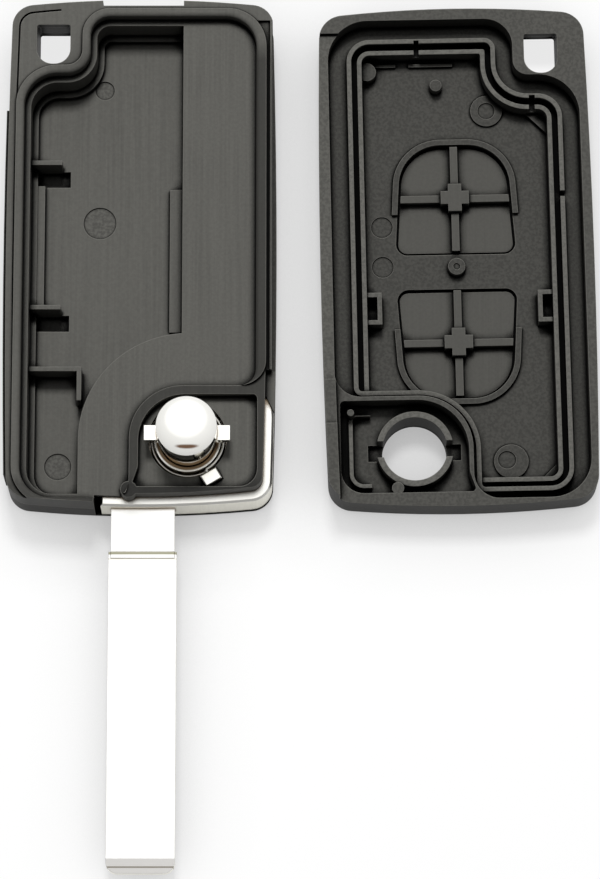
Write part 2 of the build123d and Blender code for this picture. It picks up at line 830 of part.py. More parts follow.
def front_room(inset, curve_inset):
    """Board compartment of the front cover, which ends short of the carrier's edge"""
    return mirrored(compartment(inset, curve_inset, front_low))


def window(flat_end, arch_end, grow=0.0):
    """Opening for a remote button, square at one end, narrower and arched at the other"""
    centre = -middle_x
    half = window_width / 2 + grow
    outwards = grow if arch_end > flat_end else -grow
    corners = [
        (centre - half, flat_end - outwards),
        (centre + half, flat_end - outwards),
        (centre + half - window_taper, arch_end + outwards),
        (centre - half + window_taper, arch_end + outwards),
    ]
    square = max(window_round + grow, least_round)
    return rounded_outline(corners, [square, square, window_arch + grow, window_arch + grow])


# The two windows share what lies between the pivot chamber and the key ring step
window_start = chamber_up + s_wall + window_low
window_end = top_edge - window_high
window_length = (window_end - window_start - window_gap) / 2
remote_buttons = [
    ("lock_button", window_start + window_length, window_start),
    ("unlock_button", window_end - window_length, window_end),
]

# Places on the floor of the front cover, counted from its walls and from the fold axis
floor_left = rim_right + bead_inner - right_edge
floor_right = -left_edge - rim_side - bead_inner
floor_bottom = bottom_edge + rim_bottom + front_low + bead_inner
floor_step = top_edge - ring_shoulder - bead_inner
windows_middle = (window_start + window_end) / 2
corner_pads = [
    (floor_step, corner_pad_high, -corner_pad_high),
    (floor_bottom, corner_pad_low, corner_pad_low),
]
clip_y = windows_middle - clip_below
clip_places = [floor_left + clip_reach / 2 - bead_wall, floor_right - clip_reach / 2 + bead_wall]

# Front cover, laid face down
with BuildPart() as front_cover:
    with BuildSketch(front()):
        add(mirrored(body_outline(-front_overhang, front_low)))
    extrude(amount=front_height)
    fillet(front_cover.edges().group_by(Axis.Z)[0], front_round)
    # Skirt that reaches over the side of the carrier when the halves are closed
    with BuildSketch(front(front_height)):
        add(mirrored(body_outline(-front_overhang, front_low)))
        add(mirrored(body_outline(band_width - nest_gap, -over)), mode=Mode.SUBTRACT)
        add(box_outline(-right_edge - over, bottom_edge - over, 0, shelf_end), mode=Mode.INTERSECT)
    extrude(amount=skirt_height)
    with BuildSketch(front(front_height + seat_height - roof_top - skirt_clear)):
        add(box_outline(-right_edge - over, band_end - band_slant - skirt_clear, 0, shelf_end + over))
    extrude(amount=skirt_height, mode=Mode.SUBTRACT)
    # Groove that takes the lip of the rear half, then the floor inside it
    with BuildSketch(front(front_height)):
        add(mirrored(lip_outline(groove_gap, front_low + rim_lip)))
    extrude(amount=groove_floor - front_height, mode=Mode.SUBTRACT)
    with BuildSketch(front(groove_floor)):
        add(front_room(bead_inner, curve_bead + bead_wall))
    extrude(amount=face_thickness - groove_floor, mode=Mode.SUBTRACT)
    # Two sealing beads that follow the compartment
    with BuildSketch(front(groove_floor)):
        add(front_room(bead_outer, curve_bead))
        add(front_room(bead_outer + bead_wall, curve_bead + bead_wall), mode=Mode.SUBTRACT)
    extrude(amount=bead_height - groove_floor)
    with BuildSketch(front(groove_floor)):
        add(front_room(bead_inner - bead_wall, curve_bead))
        add(front_room(bead_inner, curve_bead + bead_wall), mode=Mode.SUBTRACT)
    extrude(amount=inner_bead_height - groove_floor)
    # Breaks in the beads
    with BuildSketch(front(groove_floor)):
        for across, along, break_width, break_length in bead_breaks:
            with Locations((across * body_width - right_edge, along * body_length + bottom_edge)):
                Rectangle(break_width, break_length)
    extrude(amount=bead_height, mode=Mode.SUBTRACT)
    # Room round the release button, with a raised pad
    with BuildSketch(front(front_height)):
        add(mirrored(chamber(-band_width / 2, front_low)))
    extrude(amount=pad_height - front_height, mode=Mode.SUBTRACT)
    # Collar that guides the cap of the release button
    with BuildSketch(front(pad_height)):
        Circle(cap_radius + cap_clear + collar_wall)
    extrude(amount=collar_height - pad_height)
    with BuildSketch(front()):
        Circle(cap_radius + cap_clear)
    extrude(amount=front_height, mode=Mode.SUBTRACT)
    # Slots that the lugs lock into
    with BuildSketch(front(lug_slot_floor)):
        Rectangle(2 * (chamber_left - s_wall / 4), lug_width + 2 * lug_slot_gap)
    extrude(amount=front_height, mode=Mode.SUBTRACT)
    # Key ring hole, wider below a thin web as in the rear half
    with BuildSketch(front()):
        add(mirrored(ring_slot()))
    extrude(amount=front_height, mode=Mode.SUBTRACT)
    with BuildSketch(front()):
        add(mirrored(ring_slot(ring_relief)))
    extrude(amount=front_height - ring_web, mode=Mode.SUBTRACT)
    # Windows for the remote buttons, each with a seat for its plate and a lip round its arched end
    for name, flat_end, arch_end in remote_buttons:
        with BuildSketch(front(face_thickness)):
            add(window(flat_end, arch_end, plate_reach + plate_gap + window_lip))
            add(window(flat_end, arch_end, plate_reach + plate_gap), mode=Mode.SUBTRACT)
            lip_start = flat_end + window_lip_share * (arch_end - flat_end)
            lip_end = arch_end + (arch_end - flat_end)
            low_end, high_end = sorted((lip_start, lip_end))
            add(box_outline(floor_left, low_end, floor_right, high_end), mode=Mode.INTERSECT)
        extrude(amount=window_lip_rise)
        with BuildSketch(front()):
            add(window(flat_end, arch_end))
        extrude(amount=face_thickness, mode=Mode.SUBTRACT)
        with BuildSketch(front(plate_seat)):
            add(window(flat_end, arch_end, plate_reach + plate_gap))
        extrude(amount=face_thickness - plate_seat, mode=Mode.SUBTRACT)
    # Thin rib that follows the chamber wall at the outer corner, with a round post at its end
    with BuildSketch(front(pad_height)):
        add(mirrored(chamber(corner_rib_inset, front_low)))
        add(mirrored(chamber(corner_rib_inset + corner_rib_wall, front_low)), mode=Mode.SUBTRACT)
        rib_end = chamber_up - corner_rib_inset - rib_post_radius
        add(box_outline(-right_edge, bottom_edge, -chamber_up, rib_end), mode=Mode.INTERSECT)
    extrude(amount=corner_rib_height)
    with BuildSketch(front(pad_height)):
        rib_x = chamber_right - right_edge + corner_rib_inset + corner_rib_wall / 2
        with Locations((rib_x, rib_end)):
            Circle(rib_post_radius)
        with Locations((wall_boss_x, bottom_edge + chamber_down + front_low)):
            Circle(wall_boss_radius)
    extrude(amount=front_height - pad_height - run_gap)
    # Round posts, pads and marks on the floor
    for across, along, stud_radius, post_rise in floor_posts:
        with BuildSketch(front(face_thickness)):
            with Locations((across * body_width - right_edge, along * body_length + bottom_edge)):
                Circle(stud_radius)
        extrude(amount=post_rise)
    for across, along, dimple_radius, dimple_top in floor_dimples:
        with BuildSketch(front(face_thickness + dimple_top)):
            with Locations((across * body_width - right_edge, along * body_length + bottom_edge)):
                Circle(dimple_radius)
        extrude(amount=-mark_depth, mode=Mode.SUBTRACT)
    # Low bars along the end wall
    with BuildSketch(front(face_thickness)):
        bar_y = top_edge - bar_from_top
        for start, end in floor_bars:
            bar_left = start * body_width - right_edge
            bar_right = end * body_width - right_edge
            add(box_outline(bar_left, bar_y - bar_wide / 2, bar_right, bar_y + bar_wide / 2))
    extrude(amount=bar_rise)
    # Corner pads that the board rests on
    with BuildSketch(front(face_thickness)):
        for corner_y, inwards, along in corner_pads:
            with BuildLine():
                Polyline(
                    (floor_right, corner_y),
                    (floor_right - inwards, corner_y),
                    (floor_right, corner_y + along),
                    close=True,
                )
            make_face()
    extrude(amount=pad_rise)
    # Clips on the side walls that hold the board
    with BuildSketch(front(face_thickness)):
        for clip_x in clip_places:
            with Locations((clip_x, clip_y)):
                Rectangle(clip_reach, clip_length)
    extrude(amount=clip_height)
    with BuildSketch(front(face_thickness)):
        for clip_x in clip_places:
            with Locations((clip_x, clip_y)):
                Rectangle(clip_reach - 2 * clip_wall, clip_length - 2 * clip_wall)
    extrude(amount=clip_height, mode=Mode.SUBTRACT)
    # Lowered strip beside the slot that the blade folds into
    with BuildSketch(front(front_height - slot_strip_drop)):
        add(box_outline(-right_edge - over, shelf_end, -right_edge + rim_right, -blade_tip + blade_gap))
    extrude(amount=over, mode=Mode.SUBTRACT)
front_cover.part.label = "front_cover"
export_step(front_cover.part, "parts/front_cover.step")

# Remote buttons, each a pad in its window with a plate behind it, a cross of ribs and a boss for the switch
plate_top = plate_seat + plate_thickness
for name, flat_end, arch_end in remote_buttons:
    with BuildPart() as remote_button:
        with BuildSketch(front(key_recess)):
            add(window(flat_end, arch_end, -key_gap))
        extrude(amount=plate_seat - key_recess)
        with BuildSketch(front(plate_seat)):
            add(window(flat_end, arch_end, plate_reach))
        extrude(amount=plate_thickness)
        key_middle = (flat_end + arch_end) / 2
        with BuildSketch(front(plate_top)):
            with Locations((-middle_x, key_middle)):
                Rectangle(key_rib, window_length + window_arch)
                Rectangle(window_width + window_arch, key_rib)
            add(window(flat_end, arch_end, plate_reach), mode=Mode.INTERSECT)
        extrude(amount=key_rib_height)
        with BuildSketch(front(plate_top)):
            with Locations((-middle_x, key_middle)):
                Rectangle(boss_cross, boss_long)
                Rectangle(boss_long, boss_cross)
        extrude(amount=boss_rise)
    remote_button.part.label = name
    export_step(remote_button.part, "parts/" + name + ".step")
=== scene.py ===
# %% [markdown]
# # An opened flip-key fob shell
# The real object is the plastic shell of a car's remote key, opened and laid down with the inside of
# both halves up. The rear half still holds the folding blade and its release button, and the front
# cover lies beside it. A CAD program has already made every moulded and machined piece at its real
# size. Blender is used for what CAD doesn't give: the grain of the plastic, the plating on the metal,
# the round wire of the springs, the light and the camera.

import math

import bpy
from mathutils import Matrix, Vector


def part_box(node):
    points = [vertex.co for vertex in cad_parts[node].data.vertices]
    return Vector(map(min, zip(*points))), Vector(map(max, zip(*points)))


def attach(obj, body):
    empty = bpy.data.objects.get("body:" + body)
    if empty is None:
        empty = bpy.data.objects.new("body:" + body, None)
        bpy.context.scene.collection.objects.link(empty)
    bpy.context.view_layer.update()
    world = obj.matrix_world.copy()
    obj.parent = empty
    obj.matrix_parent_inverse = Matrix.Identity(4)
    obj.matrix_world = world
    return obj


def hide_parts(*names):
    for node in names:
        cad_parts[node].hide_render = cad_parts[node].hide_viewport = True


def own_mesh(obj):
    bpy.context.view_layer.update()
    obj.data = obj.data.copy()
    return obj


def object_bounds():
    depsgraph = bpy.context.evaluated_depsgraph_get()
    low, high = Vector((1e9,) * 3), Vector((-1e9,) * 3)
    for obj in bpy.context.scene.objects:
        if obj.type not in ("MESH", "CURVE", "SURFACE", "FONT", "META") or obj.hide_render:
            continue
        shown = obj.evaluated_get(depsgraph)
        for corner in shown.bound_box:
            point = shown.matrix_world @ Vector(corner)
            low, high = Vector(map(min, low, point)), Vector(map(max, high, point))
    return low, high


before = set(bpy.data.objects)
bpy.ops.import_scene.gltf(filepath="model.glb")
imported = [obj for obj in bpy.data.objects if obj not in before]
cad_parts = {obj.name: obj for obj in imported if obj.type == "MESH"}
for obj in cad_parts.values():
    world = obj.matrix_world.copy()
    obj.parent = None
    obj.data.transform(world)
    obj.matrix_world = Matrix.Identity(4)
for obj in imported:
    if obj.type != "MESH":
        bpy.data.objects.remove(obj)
cad_box = [list(corner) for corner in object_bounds()]
mm = 0.001
size = [round((high - low) / mm, 1) for low, high in zip(*cad_box)]
print("CAD nodes:", sorted(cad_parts))
print("CAD box in mm:", size)

# %% [markdown]
# ## Camera
# The photograph was taken from almost straight above with a long lens, so the two halves hardly show
# any perspective. The camera stands 600 mm away and leans 13.5 degrees towards the tip of the blade,
# which is why the walls at the key ring end show their inner faces. A long lens on a camera that
# stands far off gives the same flat look as in the photograph.

# %% Camera
photo_width = 600
view_tilt = math.radians(13.5)
view_distance = 600 * mm
view_target = Vector((14.85, -0.14, 8.0)) * mm
view_scale = 0.132 * mm
sensor_width = 36.0
nearest_seen = 10 * mm

camera_data = bpy.data.cameras.new("photo_camera")
camera_data.sensor_fit = "HORIZONTAL"
camera_data.sensor_width = sensor_width
camera_data.lens = sensor_width * view_distance / view_scale / photo_width
camera_data.clip_start = nearest_seen
camera = bpy.data.objects.new("photo_camera", camera_data)
bpy.context.scene.collection.objects.link(camera)
lean = Vector((0, -math.sin(view_tilt), math.cos(view_tilt)))
camera.location = view_target + lean * view_distance
camera.rotation_euler = (view_tilt, 0, 0)
bpy.context.scene.camera = camera
print("lens in mm:", round(camera_data.lens, 1))

# %% [markdown]
# ## Helpers for node trees
# Both materials and Geometry Nodes are trees of nodes. Building them in a script keeps every number
# in one place. `add_node` makes one node and fills its inputs: a plain value is set on the socket,
# and an output of another node is linked to it. `new_finish` starts a material from the Principled
# shader, which does for plastic, metal and paper alike.

# %% Helpers for node trees
def add_node(tree, kind, inputs=(), **settings):
    """Adds a node, applies its settings and fills its inputs by name or by number"""
    made = tree.nodes.new(kind)
    for setting, value in settings.items():
        setattr(made, setting, value)
    for key, value in dict(inputs).items():
        socket = made.inputs[key]
        if isinstance(value, bpy.types.NodeSocket):
            tree.links.new(value, socket)
        else:
            socket.default_value = value
    return made


def new_finish(name):
    """An empty material with its shader joined to the output"""
    finish = bpy.data.materials.new(name)
    finish.use_nodes = True
    tree = finish.node_tree
    tree.nodes.clear()
    shader = add_node(tree, "ShaderNodeBsdfPrincipled")
    add_node(tree, "ShaderNodeOutputMaterial", {"Surface": shader.outputs[0]})
    return finish, tree, shader


print("helpers ready:", add_node.__name__, new_finish.__name__)

# %% [markdown]
# Some kinds of node come back again and again, so each has a short function that returns its output:
# a sum, a sum on vectors, the parts of a vector, a change of range, and a mix of two colours. A Mix
# node also has sockets for numbers and vectors, and its colours are numbers 6 and 7.

# %% Sums and colours
def calc(tree, operation, *values):
    """The result of a Math node"""
    return add_node(tree, "ShaderNodeMath", dict(enumerate(values)), operation=operation).outputs[0]


def vector_calc(tree, operation, *values):
    """The outputs of a Vector Math node, which are a vector and a number called Value"""
    return add_node(tree, "ShaderNodeVectorMath", dict(enumerate(values)), operation=operation).outputs


def split(tree, vector):
    """The X, Y and Z of a vector"""
    return add_node(tree, "ShaderNodeSeparateXYZ", {0: vector}).outputs


def remap(tree, value, low, high, first=0.0, second=1.0):
    """First up to low, second from high on, and a straight change between them"""
    made = add_node(tree, "ShaderNodeMapRange", {
        "Value": value, "From Min": low, "From Max": high, "To Min": first, "To Max": second})
    return made.outputs["Result"]


def mix_colours(tree, share, first, second, blend="MIX"):
    """Mixes two colours, each a plain colour or the output of a node"""
    made = add_node(tree, "ShaderNodeMix", {0: share, 6: first, 7: second},
                    data_type="RGBA", blend_type=blend)
    return made.outputs[2]


def multiply(tree, first, second, share=1.0):
    """The first colour times the second, or partly so"""
    return mix_colours(tree, share, first, second, blend="MULTIPLY")


def grey(level, warmth=0.0):
    """A grey as a colour with alpha, and the warmer it is, the less blue it holds"""
    return (level * (1 + warmth / 5), level, level * (1 - warmth), 1.0)


print("a warm grey:", grey(0.5, 0.1))

# %% [markdown]
# ## Helpers for surfaces
# Every pattern is laid out in Object coordinates, in metres, so its size is a real one and it stays
# on its piece when the piece moves. The Bevel node gives a normal that bends round each sharp edge,
# which catches the light as a real moulded or ground edge does. The Ambient Occlusion node tells how
# open a spot is, so it finds the corners.

# %% Patterns, edges and corners
edge_samples = 6
corner_samples = 8


def object_place(tree):
    """Where a spot lies on its piece"""
    return add_node(tree, "ShaderNodeTexCoord").outputs["Object"]


def stretch(tree, place, widths):
    """Coordinates that grow by 1 over each of the given widths"""
    scale = [1 / width for width in widths]
    return add_node(tree, "ShaderNodeMapping", {"Vector": place, "Scale": scale}).outputs[0]


def noise(tree, place, width, detail, roughness):
    """A cloudy pattern from 0 to 1 with patches of about the given width"""
    return add_node(tree, "ShaderNodeTexNoise", {
        "Vector": place, "Scale": 1 / width, "Detail": detail, "Roughness": roughness}).outputs[0]


def soft_normal(tree, radius):
    """The normal of the piece as if its edges were rounded"""
    return add_node(tree, "ShaderNodeBevel", {"Radius": radius}, samples=edge_samples).outputs[0]


def true_normal(tree):
    """The normal of the piece as it is"""
    return add_node(tree, "ShaderNodeNewGeometry").outputs["Normal"]


def levelness(tree, normal):
    """1 on a level face and 0 on an upright one"""
    return calc(tree, "ABSOLUTE", split(tree, normal)["Z"])


def openness(tree, reach):
    """1 in the open, and less where other faces stand within reach"""
    made = add_node(tree, "ShaderNodeAmbientOcclusion", {"Distance": reach}, samples=corner_samples)
    return made.outputs["AO"]


def add_relief(tree, shader, height, depth, strength, normal):
    """Bumps the surface by a pattern, on top of the given normal"""
    relief = add_node(tree, "ShaderNodeBump", {
        "Height": height, "Distance": depth, "Strength": strength, "Normal": normal})
    tree.links.new(relief.outputs[0], shader.inputs["Normal"])


print("samples for edges and corners:", edge_samples, corner_samples)

# %% [markdown]
# ## Moulded black plastic
# The shell is moulded in black ABS, and its level faces don't all look the same. They get painted
# light by height and place in Object coordinates: a painted highlight on the tops of the sealing beads
# and of the rim, and painted shade on the tops of the high walls round the pivot and towards the
# blade's end. The same coordinates place the rough round marks that the mould's ejector pins leave.
# Each pair of values says where a change starts and where it is full.

# %% Painted light and marks of the mould
bead_heights = (3.7 * mm, 4.5 * mm)
rim_heights = (5.4 * mm, 6.2 * mm)
wall_heights = (8.0 * mm, 8.8 * mm)
pivot_side = (-20.0 * mm, -9.0 * mm)
ring_end = (52.0 * mm, 55.0 * mm)
blade_end = (-5.0 * mm, -6.5 * mm)
blade_end_shade = 0.5
# X, Y and radius of each round mark, in mm
ejector_marks = [(-11.6, 49.8, 1.3), (-12.1, 31.1, 2.2), (-17.4, -2.6, 1.8), (40.1, 47.1, 1.15),
                 (42.4, -1.5, 1.2), (25.9, 30.8, 1.45), (26.0, 25.2, 1.45)]


def painted_level_light(tree, place, bead_highlight, rim_highlight, pivot_wall_shade):
    """How many times as pale a level face is painted, by its height and place: a painted highlight on beads
    and rims, painted shade on high walls
    """
    where = split(tree, place)
    # Painted highlight on the tops of the beads and of the rim
    beads = remap(tree, where["Z"], *bead_heights, 1.0, bead_highlight)
    rims = remap(tree, where["Z"], *rim_heights, 1.0, rim_highlight / bead_highlight)
    # Painted shade on the tops of the high walls round the pivot and towards the blade's end
    side = remap(tree, where["X"], *pivot_side, 1.0, pivot_wall_shade)
    end_share = blade_end_shade if pivot_wall_shade < 1 else 1.0
    end = remap(tree, where["Y"], *blade_end, 1.0, end_share)
    place_shade = mix_colours(tree, remap(tree, where["Y"], *ring_end), multiply(tree, side, end), grey(1.0))
    high_wall_shade = mix_colours(tree, remap(tree, where["Z"], *wall_heights), grey(1.0), place_shade)
    return multiply(tree, multiply(tree, beads, rims), high_wall_shade)


def inside_marks(tree, place):
    """1 inside the round marks of the ejector pins, and 0 elsewhere"""
    flat = vector_calc(tree, "MULTIPLY", place, (1, 1, 0))[0]
    found = None
    for x, y, radius in ejector_marks:
        away = vector_calc(tree, "DISTANCE", flat, (x * mm, y * mm, 0))["Value"]
        inside = calc(tree, "LESS_THAN", away, radius * mm)
        found = calc(tree, "MAXIMUM", found, inside) if found else inside
    return found


print("ejector marks:", len(ejector_marks))

# %% [markdown]
# The mould is spark-eroded, which leaves a fine even grain, and its polished parts leave faint
# streaks. Black plastic isn't flat black: it reflects the sky weakly. Its edges get a painted
# highlight, so they are a little paler. There is an edge where the soft normal differs from the true one.
# Narrow grooves get painted shade and are darkest. Two Ambient Occlusion nodes find them, one the foot
# of a high wall and one a step of a few tenths of a millimetre, and both make the colour and the shine
# darker there. Upright faces get painted shade as well.

# %% Moulded plastic
# Width of each pattern, and the detail and roughness of its noise
grain_size = 0.16 * mm
grain_noise = (3.0, 0.6)
patch_size = 9.0 * mm
patch_noise = (4.0, 0.55)
streak_widths = (0.35 * mm, 18.0 * mm, 18.0 * mm)
streak_noise = (2.0, 0.5)
speckle_size = 0.4 * mm
speckle_noise = (2.0, 0.6)
# Values between which a pattern, an edge, an upright face or a corner comes in
patch_range = (0.35, 0.65)
streak_range = (0.3, 0.7)
dust_range = (0.62, 0.75)
speckle_range = (0.4, 0.6)
edge_range = (0.995, 0.86)
level_range = (0.1, 0.6)
crevice_range = (0.58, 0.82)
step_range = (0.6, 0.95)
crevice_reach = 1.7 * mm
step_reach = 0.4 * mm
plastic_edge = 0.2 * mm
plastic_warmth = 0.09
plastic_shine = 0.25
plastic_relief = 0.8
gloss_spread = 0.06
patch_shares = (0.93, 1.06)
dust_share = 1.25
crevice_shade_share = 0.05
upright_shade_share = 0.5
mark_speckle = 0.35


def moulded_plastic(name, level, edge_highlight, rough, grain_depth, streak=0.0, speckle=0.05,
                    bead_highlight=1.0, rim_highlight=1.0, pivot_wall_shade=1.0):
    """Grained black plastic with soft edges, a painted highlight on edges, and painted shade on upright faces
    and in crevices
    """
    finish, tree, shader = new_finish(name)

    def tone(share):
        """The plastic's own grey, or a share of it"""
        return grey(level * share, plastic_warmth)

    place = object_place(tree)
    grain = noise(tree, place, grain_size, *grain_noise)
    patches = noise(tree, place, patch_size, *patch_noise)
    streaks = noise(tree, stretch(tree, place, streak_widths), 1.0, *streak_noise)
    dots = noise(tree, place, speckle_size, *speckle_noise)
    # Edges, corners and level faces, each as a share from 0 to 1
    soft = soft_normal(tree, plastic_edge)
    normal = true_normal(tree)
    edges = remap(tree, vector_calc(tree, "DOT_PRODUCT", soft, normal)["Value"], *edge_range)
    hollow = remap(tree, openness(tree, crevice_reach), *crevice_range)
    step = remap(tree, openness(tree, step_reach), *step_range)
    open_share = calc(tree, "MULTIPLY", hollow, step)
    level_face = remap(tree, levelness(tree, normal), *level_range)
    flat_share = remap(tree, level_face, 0.0, 1.0, upright_shade_share, 1.0)
    # Patterns of the mould, with a speckle that is stronger in the round marks
    mottled = mix_colours(tree, remap(tree, patches, *patch_range), *map(tone, patch_shares))
    streaked = mix_colours(tree, remap(tree, streaks, *streak_range), mottled, tone(1 + streak))
    dusted = mix_colours(tree, remap(tree, grain, *dust_range), streaked, tone(dust_share))
    depth = remap(tree, inside_marks(tree, place), 0.0, 1.0, speckle, mark_speckle)
    dark = mix_colours(tree, depth, dusted, grey(0.0))
    speckled = mix_colours(tree, remap(tree, dots, *speckle_range), dark, dusted)
    # Painted shade on upright faces, painted light on level ones, a painted highlight on edges and painted
    # shade in crevices
    upright_shaded = mix_colours(tree, flat_share, grey(0.0), speckled)
    level_light = painted_level_light(tree, place, bead_highlight, rim_highlight, pivot_wall_shade)
    level_lit = multiply(tree, upright_shaded, mix_colours(tree, level_face, grey(1.0), level_light))
    edge_lit = mix_colours(tree, edges, level_lit, grey(edge_highlight, plastic_warmth))
    shaded = mix_colours(tree, open_share, grey(level * crevice_shade_share), edge_lit)
    tree.links.new(shaded, shader.inputs["Base Color"])
    gloss = remap(tree, patches, 0.0, 1.0, rough - gloss_spread, rough + gloss_spread)
    tree.links.new(gloss, shader.inputs["Roughness"])
    shine = calc(tree, "MULTIPLY", open_share, calc(tree, "MULTIPLY", flat_share, plastic_shine))
    tree.links.new(shine, shader.inputs["Specular IOR Level"])
    add_relief(tree, shader, grain, grain_depth, plastic_relief, soft)
    return finish


shell_plastic = moulded_plastic("shell_plastic", level=0.058, edge_highlight=0.17, rough=0.55,
                                grain_depth=0.012 * mm, speckle=0.3, bead_highlight=2.3, rim_highlight=1.35)
frame_plastic = moulded_plastic("frame_plastic", level=0.092, edge_highlight=0.18, rough=0.52,
                                grain_depth=0.006 * mm, streak=0.16, speckle=0.09, pivot_wall_shade=0.38)
key_plastic = moulded_plastic("key_plastic", level=0.075, edge_highlight=0.15, rough=0.55,
                              grain_depth=0.004 * mm, streak=0.06, speckle=0.07)
print("plastics:", [item.name for item in (shell_plastic, frame_plastic, key_plastic)])

# %% [markdown]
# ## Plated and polished metal
# Metal gets painted shade: in its corners, in painted lines across the blade that stand for the dark
# reflections of its steps, and round the button, where a painted brown shade lies under its cap. Each
# of these multiplies the colour, so it works on any metal.

# %% Painted shade on metal
button_shade_range = (4.25 * mm, 4.1 * mm)
corner_shade_reach = 0.7 * mm
corner_shade_range = (0.75, 0.5)
corner_shade_colour = (0.3, 0.24, 0.18, 1.0)
# Y of each painted line across the blade and its half width, in mm, and its colour
painted_blade_lines = [(-14.94, 0.24, (0.36, 0.35, 0.26, 1.0)), (-15.7, 0.1, (0.75, 0.72, 0.66, 1.0)),
               (-56.5, 0.13, (0.4, 0.37, 0.32, 1.0))]


def painted_metal_shade(tree, place, clean, button_shade_colour, lines):
    """The clean colour with painted brown shade round the fold axis, painted shade in corners and painted
    lines across
    """
    radial = vector_calc(tree, "MULTIPLY", place, (1, 1, 0))[0]
    from_axis = vector_calc(tree, "LENGTH", radial)["Value"]
    # Painted brown shade under the button's cap, near the fold axis
    colour = multiply(tree, clean, button_shade_colour, remap(tree, from_axis, *button_shade_range))
    # Painted shade in the corners
    colour = multiply(tree, colour, corner_shade_colour, remap(tree, openness(tree, corner_shade_reach), *corner_shade_range))
    along = split(tree, place)["Y"]
    # Painted lines across the blade, which stand for the dark reflections of its steps
    for middle, half_width, line_colour in lines:
        away = calc(tree, "ABSOLUTE", calc(tree, "SUBTRACT", along, middle * mm))
        near = remap(tree, away, half_width * mm, half_width / 2 * mm)
        colour = multiply(tree, colour, line_colour, near)
    return colour


print("lines across the blade:", len(painted_blade_lines))

# %% [markdown]
# The blade is a nickel-plated steel blank. It was ground along its length, so its satin finish has
# very fine scratches. The carrier is a zinc casting with the same plating, a little less even, and its
# upright faces have streaks from the mould and a painted shade. The release button is polished, mirrors
# the room, and its upright faces get painted shade too. The springs are drawn steel wire, which is
# darker. One helper makes them all: it scratches, mottles and polishes by different amounts.

# %% Metal
scratch_widths = (0.12 * mm, 14.0 * mm, 0.12 * mm)
scratch_noise = (4.0, 0.6)
scratch_range = (0.55, 0.75)
stain_noise = (3.0, 0.5)
stain_range = (0.35, 0.7)
stain_share = 0.93
stain_warmth = 0.01
pit_noise = (2.0, 0.5)
flank_widths = (0.5 * mm, 0.5 * mm, 5.0 * mm)
flank_noise = (3.0, 0.6)
flank_range = (0.4, 0.7)
flank_warmth = 0.07
upright_range = (0.5, 0.2)
metal_edge = 0.12 * mm
metal_relief = 0.6
rough_shares = (0.8, 1.2)
no_button_shade = grey(1.0)


def metal(name, level, rough, scratch, scratch_depth, warmth=0.0, flank=1.0, button_shade_colour=no_button_shade, lines=()):
    """Metal with fine scratches along Y, slight stains and, on upright faces, streaks and painted shade as
    dark as flank
    """
    finish, tree, shader = new_finish(name)
    place = object_place(tree)
    scratches = noise(tree, stretch(tree, place, scratch_widths), 1.0, *scratch_noise)
    stains = noise(tree, place, patch_size, *stain_noise)
    pits = noise(tree, place, grain_size, *pit_noise)
    streaks = noise(tree, stretch(tree, place, flank_widths), 1.0, *flank_noise)
    stained = mix_colours(tree, remap(tree, stains, *stain_range), grey(level, warmth),
                          grey(level * stain_share, warmth + stain_warmth))
    scratched = mix_colours(tree, remap(tree, scratches, *scratch_range), stained,
                            grey(level * (1 - scratch), warmth))
    # Upright faces: streaks from the mould and a painted shade, as dark as flank
    flank_streaks_and_shade = mix_colours(tree, remap(tree, streaks, *flank_range),
                         grey(level * flank, warmth + flank_warmth),
                         grey(level * (1 + flank) / 2, warmth + flank_warmth))
    upright = remap(tree, levelness(tree, true_normal(tree)), *upright_range)
    upright_shaded = mix_colours(tree, upright, scratched, flank_streaks_and_shade)
    tree.links.new(painted_metal_shade(tree, place, upright_shaded, button_shade_colour, lines), shader.inputs["Base Color"])
    gloss = remap(tree, stains, 0.0, 1.0, *[rough * share for share in rough_shares])
    tree.links.new(gloss, shader.inputs["Roughness"])
    height = calc(tree, "ADD", scratches, pits)
    add_relief(tree, shader, height, scratch_depth, metal_relief, soft_normal(tree, metal_edge))
    shader.inputs["Metallic"].default_value = 1.0
    return finish


blade_steel = metal("blade_steel", level=0.93, rough=0.34, scratch=0.06, scratch_depth=0.002 * mm,
                    warmth=0.02, lines=painted_blade_lines)
cast_metal = metal("cast_metal", level=0.9, rough=0.3, scratch=0.08, scratch_depth=0.003 * mm,
                   warmth=0.05, flank=0.85, button_shade_colour=(0.2, 0.14, 0.09, 1.0))
spring_steel = metal("spring_steel", level=0.5, rough=0.3, scratch=0.2, scratch_depth=0.002 * mm,
                     warmth=0.05)
polished_metal = metal("polished_metal", level=0.95, rough=0.08, scratch=0.02,
                       scratch_depth=0.0004 * mm, warmth=0.04, flank=0.75)
print("metals:", [item.name for item in (blade_steel, cast_metal, spring_steel, polished_metal)])

# %% [markdown]
# ## Finishes on the CAD pieces
# A CAD piece already has its shape, so it only needs its material. Each piece stays an object, and
# assigning to its material slots changes the look and nothing else.

# %% Finishes on the CAD pieces
finish_of = {
    "back_cover": shell_plastic,
    "mid_frame": frame_plastic,
    "front_cover": shell_plastic,
    "lock_button": key_plastic,
    "unlock_button": key_plastic,
    "blade_carrier": cast_metal,
    "key_blade": blade_steel,
    "blade_roll_pin": spring_steel,
    "spring_anchor": cast_metal,
    "release_button": polished_metal,
}
for node, finish in finish_of.items():
    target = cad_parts[node]
    target.data.materials.clear()
    target.data.materials.append(finish)
    print(node, "->", finish.name)

# %% [markdown]
# ## Springs of round wire
# Two springs sit round the fold axis: a thick one that throws the blade out, with a leg that hooks
# into its anchor, and a thin one inside the release button. Both are the same thing with other sizes,
# a wire that follows a coil, so one Geometry Nodes tree makes both. It draws a spiral curve, adds the
# leg as a line, and sweeps a circle along them. The CAD springs have a coarser wire with flat sides,
# and these stand for them in the picture.

# %% Tree for a wound spring
wire_facets = 14
turn_steps = 40
spring_sizes = ("Turns", "Coil radius", "Coil height", "Wire radius", "Leg length")


